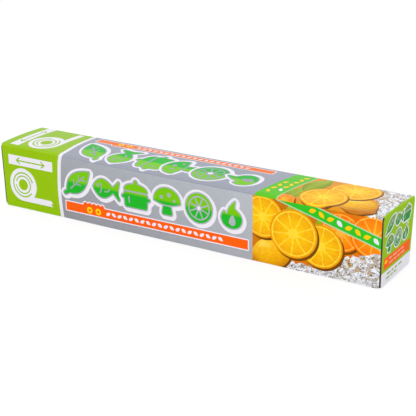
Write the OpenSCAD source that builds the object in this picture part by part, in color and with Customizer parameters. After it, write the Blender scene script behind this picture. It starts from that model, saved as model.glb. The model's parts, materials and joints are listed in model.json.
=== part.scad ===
// Sealed carton for a roll of household aluminium foil, as it is sold.
// One printed board blank, folded and glued shut round the roll. The lid is the top panel,
// the front panel with its tear strip still on, and an ear glued down over each end. The
// bottom, the back and the inner front wall lie behind it.
// Millimetres. Origin at the middle of the base, +X along the roll, front at -Y, +Z up.

/* [Roll inside] */
// Width of the foil on the roll
web_w = 250; // [200:1:300]
// Room between the roll and the board at each end
end_room = 3.1; // [1:0.1:8]

/* [Carton] */
// Depth of the carton from front to back
carton_d = 40.6; // [34:0.2:60]
// Height of the carton, from the base to the middle of the top panel
carton_h = 41; // [34:0.2:60]
// Thickness of the board
board_t = 0.45; // [0.3:0.05:0.8]
// Rise of the top panel at its middle, above its folds
top_crown = 0.6; // [0.2:0.1:1.5]

/* [Folds] */
// Outer radius of the fold between the top panel and the front panel
lid_fold_r = 2; // [1:0.1:3]
// Outer radius of the two folds along the back
back_fold_r = 1.5; // [0.8:0.1:3]
// Outer radius of the folds between the top panel and the ears
ear_fold_r = 0.7; // [0.5:0.1:2]
// Outer radius of the folds on the inner plies, behind the front panel and the ears
inner_fold_r = 1.2; // [0.8:0.1:2]

/* [Front panel and tear strip] */
// Slot between the side edge of the front panel and the ear, at the top
side_slot = 0.3; // [0.2:0.05:2]
// How far each side edge leans in, from the top to the foot
side_lean = 0.3; // [0:0.1:1.5]
// Height of the raw lower edge above the base
foot_z = 0.35; // [0.1:0.05:1]
// Radius of the two corners at the foot
foot_corner_r = 1; // [0.5:0.1:4]
// Height of the perforated tear line above the foot
tear_rise = 4.2; // [3:0.1:8]
// Length of one cut of the tear line
cut_l = 3.2; // [1:0.1:6]
// Uncut board between two cuts
cut_tie = 1.1; // [0.5:0.1:3]
// Width of a cut
cut_w = 0.2; // [0.1:0.05:0.5]

/* [Ears] */
// How far the raw front edge of an ear lies behind the face of the front panel
ear_front_gap = 0.15; // [0.05:0.05:1]
// How far the raw back edge of an ear stops short of the back panel
ear_back_gap = 0.3; // [0.1:0.05:1]
// Height of the raw lower edge of an ear above the base
ear_foot_z = 0.4; // [0.1:0.05:1]
// Radius of the two free corners of an ear
ear_corner_r = 1.4; // [0.5:0.1:4]

/* [Hidden] */
$fn = 64;

// Overall length, over the two ears and the inner plies behind them
carton_l = web_w + 2 * (end_room + 2 * board_t);
// Front faces of the front panel and of the inner wall behind it, and the back face
front_y = -carton_d / 2;
inner_y = front_y + board_t;
back_y = carton_d / 2;
// Outer faces of the inner plies at the ends
inner_x = carton_l / 2 - board_t;
// Height of the folds that the top panel springs from
shoulder_z = carton_h - top_crown;
// The slots stop under the top panel's own ply
slot_top_z = shoulder_z - board_t;
// Half widths of the front panel at the top of its slots and at its foot
half_top = inner_x - side_slot;
half_foot = half_top - side_lean;
// A cut goes halfway through the ply, so that the panel stays in one piece
cut_depth = board_t / 2;
tear_z = foot_z + tear_rise;
cut_pitch = cut_l + cut_tie;
// Inner plies press against the outer ones, which flattens their folds by this much
press = 0.05;
// Reach of a cutting solid past what it cuts
reach = 2;

board_green = [0.60, 0.77, 0.08];

// Radius of the circle through the ends and the middle of a bowed line
function bow_r(half, rise) = (half * half + rise * rise) / (2 * rise);

// Half width of the front panel at height z
function half_at(z) = half_foot + (half_top - half_foot) * (z - foot_z) / (slot_top_z - foot_z);

// What a round corner leaves over: spot is the middle of its circle, and the corner points
// along side, such as [1, -1]
module corner_waste(spot, side, r) {
    difference() {
        translate(spot + side * (r + reach) / 2) square(r + reach, center = true);
        translate(spot) circle(r);
    }
}

// Rectangle from low to high whose corners have their own radii, in the order lower left,
// lower right, upper right, upper left
module round_rect(low, high, r) {
    difference() {
        translate(low) square(high - low);
        if (r[0] > 0) corner_waste([low[0] + r[0], low[1] + r[0]], [-1, -1], r[0]);
        if (r[1] > 0) corner_waste([high[0] - r[1], low[1] + r[1]], [1, -1], r[1]);
        if (r[2] > 0) corner_waste([high[0] - r[2], high[1] - r[2]], [1, 1], r[2]);
        if (r[3] > 0) corner_waste([low[0] + r[3], high[1] - r[3]], [-1, 1], r[3]);
    }
}

// Run an outline along X, Y or Z. For X the outline is in [y, z], for Y in [x, z]
module along_x(x0, x1) {
    translate([x0, 0, 0]) rotate([90, 0, 90]) linear_extrude(x1 - x0) children();
}

module along_y(y0, y1) {
    translate([0, y1, 0]) rotate([90, 0, 0]) linear_extrude(y1 - y0) children();
}

module along_z(z0, z1) {
    translate([0, 0, z0]) linear_extrude(z1 - z0) children();
}

// Disc on its side whose rim is the bow of the top panel, rounded at the ears' folds. Its
// rim passes through the tops of the two long folds.
module crown_disc() {
    y0 = front_y + lid_fold_r;
    y1 = back_y - back_fold_r;
    r = bow_r((y1 - y0) / 2, top_crown);
    translate([0, (y0 + y1) / 2, carton_h - r]) rotate([0, 90, 0])
        rotate_extrude($fn = 720) difference() {
            translate([0, -carton_l / 2]) square([r, carton_l]);
            for (side = [-1, 1])
                corner_waste([r - ear_fold_r, side * (carton_l / 2 - ear_fold_r)],
                             [1, side], ear_fold_r);
        }
}

// The whole outside, with the folds of the top and back panels
module outer_form() {
    intersection() {
        along_x(-carton_l / 2 - reach, carton_l / 2 + reach) difference() {
            round_rect([front_y, 0], [back_y, carton_h + reach], [0, back_fold_r, 0, 0]);
            corner_waste([front_y + lid_fold_r, shoulder_z - lid_fold_r], [-1, 1], lid_fold_r);
            corner_waste([back_y - back_fold_r, shoulder_z - back_fold_r], [1, 1], back_fold_r);
        }
        crown_disc();
    }
}

// Inner plies behind the front panel and the ears: the inner front wall, and the end flaps
// folded in from the bottom and the back
module inner_plies() {
    x = inner_x + press;
    r = inner_fold_r;
    intersection() {
        along_z(-press, carton_h) round_rect([-x, inner_y], [x, back_y + press], [r, r, r, r]);
        along_x(-x, x) round_rect([inner_y, -press], [back_y + reach, carton_h], [r, 0, 0, 0]);
        along_y(front_y, back_y + reach) round_rect([-x, -press], [x, carton_h], [r, r, 0, 0]);
    }
}

// Front panel seen from the front, with side edges that lean in to round corners
module front_outline() {
    r = foot_corner_r;
    z = foot_z + r;
    difference() {
        polygon([[-half_foot, foot_z], [half_foot, foot_z], [half_top, slot_top_z],
                 [half_top, carton_h + reach], [-half_top, carton_h + reach],
                 [-half_top, slot_top_z]]);
        for (side = [-1, 1]) corner_waste([side * (half_at(z) - r), z], [side, -1], r);
    }
}

// Room round the inner plies, which opens at the slots, the foot and the back corners
module room_round_inner_plies() {
    difference() {
        along_z(-reach, slot_top_z)
            translate([-inner_x, front_y - reach]) square([2 * inner_x, carton_d + 2 * reach]);
        inner_plies();
        along_y(front_y - 2 * reach, inner_y + press) front_outline();
    }
}

// What is cut off round an ear, from the inner plies outward
module ear_waste(side) {
    near = side > 0 ? inner_x : -carton_l / 2 - reach;
    difference() {
        along_x(near, near + board_t + reach)
            translate([front_y - reach, -reach]) square([carton_d + 2 * reach, carton_h + 2 * reach]);
        along_x(near - reach, near + board_t + 2 * reach)
            round_rect([front_y + ear_front_gap, ear_foot_z],
                       [back_y - ear_back_gap, carton_h + 2 * reach],
                       [ear_corner_r, ear_corner_r, 0, 0]);
    }
}

// Row of cuts along which the tear strip comes off, from side to side of the front panel
module tear_line() {
    run = 2 * (half_foot - cut_pitch);
    count = floor((run + cut_tie) / cut_pitch);
    start = -(count * cut_pitch - cut_tie) / 2;
    for (i = [0:count - 1])
        translate([start + i * cut_pitch, front_y - reach, tear_z - cut_w / 2])
            cube([cut_l, reach + cut_depth, cut_w]);
}

module carton() {
    color(board_green) difference() {
        outer_form();
        room_round_inner_plies();
        ear_waste(-1);
        ear_waste(1);
        tear_line();
    }
}

carton();
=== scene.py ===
"""Looks of a sealed carton of household foil: printed and coated board, folded and glued.

Each panel is one flat sheet of board. Its print is laid out in millimetres on the flat sheet,
the sheet is cut into triangles along every edge of the print, and each triangle takes the
colour of the ink that lies on it. Then the sheet is folded into place and given its thickness.
"""

import json
import math

import bpy
import numpy as np
from mathutils import Matrix, Vector, geometry

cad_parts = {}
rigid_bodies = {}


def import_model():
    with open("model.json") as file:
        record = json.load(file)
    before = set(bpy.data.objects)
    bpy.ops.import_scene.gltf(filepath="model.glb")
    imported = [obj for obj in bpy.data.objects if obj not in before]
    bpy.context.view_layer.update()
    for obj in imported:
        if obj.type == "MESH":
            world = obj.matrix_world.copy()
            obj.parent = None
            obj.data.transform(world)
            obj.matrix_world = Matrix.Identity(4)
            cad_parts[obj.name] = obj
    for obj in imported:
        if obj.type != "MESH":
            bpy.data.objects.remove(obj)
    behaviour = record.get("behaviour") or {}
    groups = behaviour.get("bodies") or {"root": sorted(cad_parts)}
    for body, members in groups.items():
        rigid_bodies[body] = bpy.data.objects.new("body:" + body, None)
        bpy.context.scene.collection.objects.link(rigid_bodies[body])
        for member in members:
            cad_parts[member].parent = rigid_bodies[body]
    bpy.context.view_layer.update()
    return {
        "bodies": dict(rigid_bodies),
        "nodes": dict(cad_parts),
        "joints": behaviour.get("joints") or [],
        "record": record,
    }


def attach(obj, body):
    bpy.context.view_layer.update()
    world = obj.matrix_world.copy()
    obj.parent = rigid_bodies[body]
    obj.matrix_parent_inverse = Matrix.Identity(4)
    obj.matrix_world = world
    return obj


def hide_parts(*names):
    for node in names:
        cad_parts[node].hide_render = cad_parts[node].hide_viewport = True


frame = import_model()

# Sizes in millimetres. The looks keep a hair inside the part
MM = 0.001
HAIR = 0.02
LENGTH = 258.0 - 2 * HAIR
DEPTH = 40.6 - 2 * HAIR
HEIGHT = 40.96
BOARD = 0.45
CROWN = 0.6
LID_R = 2.0
BACK_R = 1.5
EAR_R = 0.7
PLY_R = 1.2
SIDE_SLOT = 0.3
SIDE_LEAN = 0.3
FOOT_Z = 0.35
FOOT_CORNER_R = 1.0
TEAR_RISE = 4.2
CUT_L = 3.2
CUT_TIE = 1.1
CUT_W = 0.2
CUT_DEPTH = 0.2
CUT_TIP = 0.2
EAR_FRONT_GAP = 0.15
EAR_BACK_GAP = 0.3
EAR_FOOT_Z = 0.8
EAR_CORNER_R = 1.4
# Air between the front panel and the inner wall, and how far panels bow into it
PLY_GAP = 0.3
FRONT_BOW = 0.25
TOP_BOW = 0.12
# Lengths over which the bows fade out, towards the ends and towards each panel's folds
END_FADE = 12.0
FRONT_FADE = 6.0
TOP_FADE = 7.0
# Waves along the raw edge at the foot
FOOT_WAVE = 0.1
# The raw edges of an ear turn in round the lid's two folds: between what heights, measured
# from where the folds start, and by how much in front and at the back
EAR_TURN_Z = (-0.6, 0.1)
EAR_TURN_IN = (0.35, 0.25)
# How far each end leans in at its foot, in front and at the back, and over what length
LEFT_LEAN = (1.5, 0.0)
RIGHT_LEAN = (0.2, 1.7)
LEAN_REACH = 7.0

QUARTER = math.pi / 2
HALF = LENGTH / 2
FRONT_Y = -DEPTH / 2
BACK_Y = DEPTH / 2
PLY_X = HALF - BOARD - HAIR
HALF_TOP = PLY_X - SIDE_SLOT
HALF_FOOT = HALF_TOP - SIDE_LEAN
EAR_X = HALF - EAR_R
CUT_PITCH = CUT_L + CUT_TIE

# The top is a shallow bow between two folds, which turn by less than a quarter
SLOPE = 2 * math.atan(2 * CROWN / (DEPTH - LID_R - BACK_R))
BOW_R = (DEPTH - (LID_R + BACK_R) * (1 - math.sin(SLOPE))) / (2 * math.sin(SLOPE))
FOLD_TURN = QUARTER - SLOPE
SHOULDER_Z = HEIGHT - BOW_R * (1 - math.cos(SLOPE))
LID_Z = SHOULDER_Z - LID_R * math.cos(SLOPE)
BACK_Z = SHOULDER_Z - BACK_R * math.cos(SLOPE)
SLOT_TOP_Z = SHOULDER_Z - BOARD
LID_SEAM_TURN = math.asin((SLOT_TOP_Z - LID_Z) / LID_R)
BACK_SEAM_TURN = math.asin((SLOT_TOP_Z - BACK_Z) / BACK_R)


def ramp(values):
    """The values, held between 0 and 1."""
    return np.clip(values, 0, 1)


def unit(rows):
    """The same directions with a length of 1."""
    return rows / np.maximum(np.linalg.norm(rows, axis=1), 1e-12)[:, None]


def spin(angle):
    """Matrix that turns rows of points anticlockwise."""
    c, s = math.cos(angle), math.sin(angle)
    return np.array(((c, s), (-s, c)))


def left_of(way):
    """The way a quarter turn to the left."""
    return np.array((-way[1], way[0]))


class Path:
    """Section line in the YZ plane, walked from its start: each piece is a length and a turn."""

    def __init__(self, y, z, heading, pieces):
        self.rows = []
        self.marks = [0.0]
        for length, turn in pieces:
            if length:
                bend = turn / length
                self.rows.append((self.marks[-1], y, z, heading, bend))
                y, z = self.step(y, z, heading, bend, length)
                self.marks.append(self.marks[-1] + length)
            heading += turn

    @staticmethod
    def step(y, z, heading, bend, along):
        """Where a walk of that length ends."""
        if bend == 0:
            return y + math.cos(heading) * along, z + math.sin(heading) * along
        end = heading + bend * along
        over = (np.sin(end) - math.sin(heading)) / bend
        return y + over, z + (math.cos(heading) - np.cos(end)) / bend

    def at(self, s):
        """Y, Z and the outward direction in Y and Z, at the lengths s."""
        s = np.asarray(s, float)
        found = np.zeros((4,) + s.shape)
        for start, y, z, heading, bend in self.rows:
            on = (s >= start) | (start == 0)
            turned = heading + bend * (s - start)
            there = self.step(y, z, heading, bend, s - start)
            values = (*there, -np.sin(turned), np.cos(turned))
            found = [np.where(on, value, row) for row, value in zip(found, values)]
        return np.array(found)


# Outside of the lid, from the foot of the front panel over the top to the back panel
LID_WALK = [(LID_Z - FOOT_Z, 0), (LID_R * FOLD_TURN, -FOLD_TURN), (2 * BOW_R * SLOPE, -2 * SLOPE)]
LID_WALK += [(BACK_R * FOLD_TURN, -FOLD_TURN), (BACK_Z, 0)]
LID = Path(FRONT_Y, FOOT_Z, QUARTER, LID_WALK)
FOLD_START, FOLD_END, CROWN_END, BACK_START = LID.marks[1:5]
LID_SEAM = FOLD_START + LID_R * LID_SEAM_TURN
BACK_SEAM = BACK_START - BACK_R * BACK_SEAM_TURN

# Outside of the inner plies: down the back, along the bottom and up the inner front wall, then
# back under the top panel
INSET = BOARD + PLY_GAP
PLY_WALK = [(BACK_R * BACK_SEAM_TURN, -BACK_SEAM_TURN), (BACK_Z - BACK_R, 0)]
PLY_WALK += [(BACK_R * QUARTER, -QUARTER), (DEPTH - BACK_R - INSET - PLY_R, 0)]
PLY_WALK += [(PLY_R * QUARTER, -QUARTER), (LID_Z - PLY_R, 0)]
PLY_WALK += [((LID_R - INSET) * FOLD_TURN, -FOLD_TURN), (2 * (BOW_R - INSET) * SLOPE, -2 * SLOPE)]
PLY_WALK += [((BACK_R - INSET) * (FOLD_TURN - BACK_SEAM_TURN), BACK_SEAM_TURN - FOLD_TURN)]
PLY_WALK += [(0, QUARTER), (INSET, 0)]
seam_y, seam_z = (float(v) for v in LID.at(BACK_SEAM)[:2])
PLIES = Path(seam_y, seam_z, BACK_SEAM_TURN - QUARTER, PLY_WALK)
PLY_END = PLIES.marks[-1]
PLY_BACK_END = PLIES.marks[2]
PLY_BOTTOM_END = PLIES.marks[4]
PLY_WALL_END = PLIES.marks[6]


def linear(red, green, blue, silver=0.0):
    """Linear colour of an sRGB one, and the share of silver ink as a fourth value."""
    srgb = np.array((red, green, blue)) / 255
    high = ((srgb + 0.055) / 1.055) ** 2.4
    return np.append(np.where(srgb <= 0.04045, srgb / 12.92, high), silver)


def mix(first, second, share):
    """From the first colour to the second, row by row."""
    share = ramp(share)[:, None]
    return first * (1 - share) + second * share


LIME = linear(150, 194, 0)
WHITE = linear(236, 233, 242)
SILVER = linear(163, 168, 176, 1)
SILVER_TOP = linear(160, 163, 176, 1)
# Dim and pale silver of the front: painted shade to the left and low, painted light to the right and
# high
SILVER_IN_PAINTED_SHADE = linear(167, 168, 175, 1)
SILVER_IN_PAINTED_LIGHT = linear(207, 212, 220, 1)
PALE_GREY = linear(186, 198, 184)
GREY = linear(120, 126, 130)
ORANGE = linear(255, 96, 0)
TOP_ORANGE = linear(246, 112, 0)
SALMON = linear(250, 176, 140)
YELLOW = linear(255, 205, 0)
LIGHT_GREEN = linear(120, 200, 0)
DEEP_GREEN = linear(30, 184, 40)
EAR_GREENS = (linear(112, 160, 80), linear(40, 150, 64))
LEAFY = linear(150, 186, 96)
BAND_GREEN = linear(48, 196, 38)
TOP_BAND = linear(90, 196, 24)
PALE = linear(175, 216, 170)
# Raw board edges: grey-brown board, made darker still as painted shade for the dark slots at the
# carton's ends
RAW_EDGE_AND_SHADE = linear(98, 90, 78)
# Plain inner board: brown board, made much darker as painted shade where it shows in the slots at
# the ends of the front
KRAFT_AND_SLOT_SHADE = linear(70, 60, 50)


def area_of(line):
    """Signed area inside a closed line, above zero if it runs anticlockwise."""
    x, y = line.T
    return 0.5 * np.sum(x * np.roll(y, -1) - np.roll(x, -1) * y)


def in_outline(points, line):
    """Which points a closed line holds."""
    x, y = points[:, 0:1], points[:, 1:2]
    ax, ay = line.T
    bx, by = np.roll(line, -1, axis=0).T
    spans = (ay > y) != (by > y)
    rise = np.where(by == ay, 1.0, by - ay)
    crossing = ax + (y - ay) * (bx - ax) / rise
    return np.sum(spans & (x < crossing), axis=1) % 2 == 1


def distance_to(points, line, closed):
    """How far each point is from a line."""
    starts = line if closed else line[:-1]
    ends = np.roll(line, -1, axis=0) if closed else line[1:]
    along = ends - starts
    size = np.maximum(np.sum(along**2, axis=1), 1e-12)
    offset = points[:, None] - starts
    share = ramp(np.sum(offset * along, axis=2) / size)
    apart = offset - share[..., None] * along
    return np.sqrt(np.min(np.sum(apart**2, axis=2), axis=1))


def beside(line, r, closed, side):
    """Line at the distance r on the left (side 1) or right (side -1), round at its corners."""
    ahead = np.roll(line, -1, axis=0) - line
    if not closed:
        ahead[-1] = ahead[-2]
    ahead /= np.maximum(np.hypot(*ahead.T), 1e-9)[:, None]
    behind = np.roll(ahead, 1, axis=0)
    if not closed:
        behind[0] = ahead[0]
    out = []
    for point, before, after in zip(line, behind, ahead):
        start = math.atan2(before[1], before[0]) + side * QUARTER
        turn = math.atan2(before[0] * after[1] - before[1] * after[0], before @ after)
        angles, reach = start + np.linspace(0, turn, 2 + int(abs(turn) / 0.3)), r
        if abs(turn) < 0.02 or turn * side > 0:
            angles, reach = [start + turn / 2], r / max(math.cos(turn / 2), 0.5)
        out += [(point[0] + reach * math.cos(t), point[1] + reach * math.sin(t)) for t in angles]
    return np.array(out)


UPRIGHT = (1, 0, 0, 1)


class Shape:
    """Flat shape: a line drawn with a round pen of radius r, and its inside if it is filled."""

    def __init__(self, line, r=0.0, closed=False, filled=False):
        self.line = np.asarray(line, float)
        self.r = r
        self.closed = closed or filled
        self.filled = filled
        if filled and area_of(self.line) < 0:
            self.line = self.line[::-1]

    def grown(self, more):
        return Shape(self.line, self.r + more, self.closed, self.filled)

    def placed(self, shift, matrix=UPRIGHT, pen=1.0):
        """The shape after a matrix, given by rows, and a shift, with its pen times a factor."""
        moved = self.line @ np.array(matrix, float).reshape(2, 2).T + shift
        return Shape(moved, self.r * pen, self.closed, self.filled)

    def holds(self, points):
        """Which of the points lie on the shape."""
        low = self.line.min(axis=0) - self.r
        high = self.line.max(axis=0) + self.r
        near = np.all((points >= low) & (points <= high), axis=1)
        held = np.zeros(len(points), bool)
        close = points[near]
        if len(close):
            found = np.zeros(len(close), bool)
            if self.filled:
                found = in_outline(close, self.line)
            if self.r > 0:
                found |= distance_to(close, self.line, self.closed) <= self.r
            held[near] = found
        return held

    def outlines(self):
        """The closed lines that bound the shape."""
        if self.r == 0:
            return [self.line]
        if self.filled:
            return [beside(self.line, self.r, True, -1)]
        if self.closed:
            return [beside(self.line, self.r, True, side) for side in (1, -1)]
        return [self.round_ended()]

    def round_ended(self):
        """Outline of an open line's stroke, with its two round ends."""
        left = beside(self.line, self.r, False, 1)
        right = beside(self.line, self.r, False, -1)[::-1]
        turns = np.linspace(0, -math.pi, 9)[1:-1]

        def end(spot, start):
            angle = math.atan2(*(start - spot)[::-1]) + turns
            return spot + self.r * np.column_stack((np.cos(angle), np.sin(angle)))

        return np.vstack((left, end(self.line[-1], left[-1]), right, end(self.line[0], right[-1])))


class Ink:
    """A shape and the colour on it, which may be a function of the place.

    Frame is a shape that the ink stays within, and grainy says how much fine, uneven shading
    breaks it up.
    """

    def __init__(self, shape, colour, frame=None, grainy=0.0):
        self.shape = shape
        self.colour = colour
        self.frame = frame
        self.grainy = grainy

    def holds(self, points):
        held = self.shape.holds(points)
        return held if self.frame is None else held & self.frame.holds(points)

    def paint(self, points):
        if callable(self.colour):
            return self.colour(points)
        return np.tile(self.colour, (len(points), 1))


def inks_of(colour, shapes, *place):
    """One ink of that colour for each shape, which is placed first if a place is given."""
    return [Ink(shape.placed(*place) if place else shape, colour) for shape in shapes]


def box(low, high):
    """The four corners of a rectangle."""
    return [(low[0], low[1]), (high[0], low[1]), (high[0], high[1]), (low[0], high[1])]


def solid(points, r=0.0):
    """Filled shape, grown by r."""
    return Shape(points, r, filled=True)


def field(low, high, r=0.0):
    """Filled rectangle, grown by r."""
    return solid(box(low, high), r)


def arc(centre, size, start, end, count=24):
    """Points on an ellipse from one angle to another, in degrees."""
    t = np.radians(np.linspace(start, end, count))
    return np.column_stack((centre[0] + size[0] * np.cos(t), centre[1] + size[1] * np.sin(t)))


def disc(centre, r, squash=1.0, count=48):
    """A filled ellipse."""
    return solid(arc(centre, (r, r * squash), 0, 360 - 360 / count, count))


def smooth(points, closed=False, steps=6):
    """Curve through the points."""
    p = np.asarray(points, float)
    before, after = (p[-1:], p[:2]) if closed else (2 * p[:1] - p[1:2], 2 * p[-1:] - p[-2:-1])
    p = np.vstack((before, p, after))
    t = np.linspace(0, 1, steps, endpoint=False)[:, None]
    runs = []
    for a, b, c, d in zip(p, p[1:], p[2:], p[3:]):
        bends = (2 * a - 5 * b + 4 * c - d) * t**2 + (3 * b - 3 * c + d - a) * t**3
        runs.append(0.5 * (2 * b + (c - a) * t + bends))
    curve = np.vstack(runs)
    return curve if closed else np.vstack((curve, p[-2]))


def leaf(start, end, width, count=20):
    """Filled leaf between two tips, width across at its widest."""
    start, end = np.array(start, float), np.array(end, float)
    along = end - start
    across = left_of(along) / np.hypot(*along)
    t = np.linspace(0, 1, count)[:, None]
    half = width / 2 * np.sin(math.pi * t**0.85) ** 0.9
    spine = start + along * t
    return solid(np.vstack((spine + across * half, (spine - across * half)[-2:0:-1])))


def way_of(start, end):
    """The start of a straight way, its direction and its length."""
    start, end = np.array(start, float), np.array(end, float)
    total = np.hypot(*(end - start))
    return start, (end - start) / total, total


def dashes(start, end, thick, lengths, gap):
    """Row of round-ended dashes from start to end, with lengths taken in turn."""
    start, way, total = way_of(start, end)
    r = thick / 2
    spot, found, turn = 0.0, [], 0
    while spot + lengths[turn % len(lengths)] <= total:
        long = lengths[turn % len(lengths)]
        found.append(Shape((start + way * (spot + r), start + way * (spot + long - r)), r))
        spot += long + gap
        turn += 1
    return found


def garland(start, end, size):
    """Row of small leaves that tilt to and fro, from start to end."""
    start, way, total = way_of(start, end)
    up = left_of(way)
    count = int(total / (1.3 * size))
    found = []
    for step in range(count):
        middle = start + way * total * (step + 0.5) / count
        half = way * 0.5 * size + up * 0.3 * size * (-1) ** step
        found.append(leaf(middle - half, middle + half, 0.66 * size, 9))
    return found


# Kitchen motifs in a box 20 wide and 17 high: what is printed, and what is left out of it
MOTIF_W = 20.0
MOTIF_H = 17.0


def leaf_motif():
    body = leaf((2.2, 2.0), (19.2, 16.6), 11.5)
    stalk = Shape(smooth([(0.6, 1.0), (2.6, 2.0), (4.6, 4.2)]), 1.0)
    rib = Shape([(4.6, 4.1), (15.2, 13.2)], 0.42)
    starts = ((7.2, 6.3), (10.8, 9.4), (8.6, 7.5), (12.2, 10.6))
    ends = ((7.3, 10.2), (11.0, 13.3), (12.6, 7.2), (16.0, 10.4))
    return [body, stalk], [rib, *(Shape(line, 0.36) for line in zip(starts, ends))]


def fish_motif():
    body = leaf((0.4, 8.6), (16.4, 8.2), 11.6)
    tail = solid([(14.2, 8.4), (19.2, 13.6), (18.0, 8.4), (19.2, 3.2)], 0.6)
    gill = Shape(arc((3.2, 8.5), (3.4, 4.2), -48, 48, 9), 0.4)
    fin = Shape(smooth([(9.0, 6.6), (11.2, 7.0), (12.6, 8.6)]), 0.4)
    return [body, tail], [disc((3.9, 9.9), 0.9), gill, fin]


def pot_motif():
    body = solid([(3.4, 1.6), (16.6, 1.6), (17.2, 8.4), (2.8, 8.4)], 1.2)
    lid = solid(arc((10, 11.2), (7.6, 3.2), 0, 180, 14), 0.6)
    handles = [Shape([(x, 6.6), (x + 1.5, 6.6)], 0.9) for x in (0.9, 17.6)]
    shine = Shape([(5.2, 3.4), (5.0, 6.6)], 0.45)
    return [body, lid, disc((10, 15.9), 1.25), *handles], [shine]


def mushroom_motif():
    top = arc((10, 8.6), (8.4, 7.4), 0, 180, 20)
    under = smooth([(1.6, 8.6), (6.0, 7.4), (10, 7.1), (14.0, 7.4), (18.4, 8.6)])[1:-1]
    stem = solid([(7.6, 1.4), (12.4, 1.4), (11.8, 4.6), (8.2, 4.6)], 1.0)
    spots = [disc((6.2, 10.8), 1.15), disc((11.4, 12.6), 1.35), disc((14.9, 9.6), 0.85)]
    return [solid(np.vstack((top, under)), 0.7), stem], spots


def slice_motif():
    centre = np.array((10.0, 8.5))
    rim = Shape(arc(centre, (8.0, 8.0), 0, 350, 36), 0.75, closed=True)
    return [rim, *wedges(centre, 6.4, 8, 0.75, 0.35)], []


def flame_motif():
    edge = [(10, 0.5), (5.2, 2.0), (3.2, 6.2), (5.0, 10.2), (6.9, 8.6), (8.4, 12.6), (12.2, 16.7)]
    edge += [(12.0, 12.6), (15.4, 9.6), (16.6, 5.8), (14.6, 1.9)]
    heart = [(10.2, 2.0), (8.2, 3.6), (8.8, 6.2), (10.6, 8.6), (12.2, 5.6), (12.2, 3.2)]
    return [solid(smooth(edge, True, 4))], [solid(smooth(heart, True, 3))]


def wedges(centre, r, count, gap, pen, squash=1.0, turn=0.0):
    """The segments of a cut citrus fruit."""
    found = []
    half = math.pi / count
    inset = gap / 2 + pen
    for step in range(count):
        middle = turn + 2 * math.pi * step / count
        angles = middle + np.linspace(-1, 1, 6) * (half - inset / (r - pen))
        tip_r = inset / math.sin(half) + pen
        rim = np.column_stack((np.cos(angles), np.sin(angles))) * (r - pen)
        tip = np.array([(math.cos(middle), math.sin(middle))]) * tip_r
        found.append(solid(np.vstack((tip, rim)) * (1, squash) + centre, pen))
    return found


MOTIFS = [leaf_motif, fish_motif, pot_motif, mushroom_motif, slice_motif, flame_motif]


def two_tone(split, soft, light=LIGHT_GREEN, deep=DEEP_GREEN):
    """Green ink that turns from deep to light across the height split."""

    def colour(points):
        return mix(deep, light, 0.5 + (points[:, 1] - split) / soft)

    return colour


def title_motif(number, place, colour, grow, drop, ground):
    """Inks of one motif: a white surround with a drop edge, a gap of the ground, then green."""
    halo, gap = grow
    printed, left_out = ([s.placed(*place) for s in group] for group in MOTIFS[number]())
    surround = [shape.grown(halo) for shape in printed]
    inks = []
    for part in (0.5, 1.0):
        inks += inks_of(WHITE, surround, (drop[0] * part, drop[1] * part))
    inks += inks_of(WHITE, surround) + inks_of(ground, (shape.grown(gap) for shape in printed))
    return inks + inks_of(colour, printed) + inks_of(ground, left_out)


# Where the print lies on the lid: u runs from the left end, s from the foot over the top
PICTURE_U = 180.1
PICTURE_TOP = 38.3
MOTIF_U = (48.9, 70.3, 91.7, 113.6, 135.2, 156.7)
MOTIF_S = 15.5
TOP_MOTIF_U = (51.5, 72.5, 93.6, 113.5, 134.0, 154.3)
TOP_MOTIF_S = 41.4
TOP_SPREAD = 1.2
TURNED = (0, -TOP_SPREAD, TOP_SPREAD, 0)
# Growth of a motif's white surround and of the gap inside it, and the reach of its drop edge
MOTIF_GROW = (2.2, 0.8)
MOTIF_DROP = 0.8
# Where the green of the motifs changes, and over what length
FRONT_SPLIT = MOTIF_S + MOTIF_H / 2
FRONT_SOFT = 1.6
TOP_SPLIT = TOP_MOTIF_S + MOTIF_W * TOP_SPREAD / 2
TOP_SOFT = 2.0
STRIP_U = (49.7, 177.2)
STRIP_S = (5.4, 11.0)
STRIP_TEETH_U = (62.7, 78.6)
STRIP_TEETH = 5
# Corners of a tooth, from right to left: the share of its pitch, and the rise
TOOTH = ((0.3, 1.9), (0.62, 1.9), (0.92, 1.0))
STRIP_BORDER = 0.65
STRIP_DISCS_U = (67.4, 73.8)
STRIP_LEAVES_U = (79.2, 161.5)
STRIP_MARKS_S = 8.2
BAND_SLOPE = -0.268
BAND_U = (195.2, 259.0)
BAND_HIGH = 6.6
BORDER_PEN = 0.33
BAND_LEAVES_U = (214.2, 257.0)
FRONT_STRIPE = [(46.5, -2), (45.2, 10), (44.9, 20), (45.6, 33), (46.5, 38.2)]
TOP_STRIPE = [(47.1, 41), (46.5, 47), (45.5, 55), (44.5, 65), (43.8, 75), (43.6, 83)]
# Where copies of the front's layout go: a shift, a matrix and a factor for pens
FRONT_SIGN_PLACE = ((0.7, 0.3),)
TOP_SIGN_PLACE = ((41.0, 35.7), (0, -1.041, 1.09, 0), 1.06)
FRONT_STRIP_PLACE = ((0, 0),)
TOP_STRIP_PLACE = ((1.9, 81.2), (0.974, 0, 0, -1))


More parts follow.
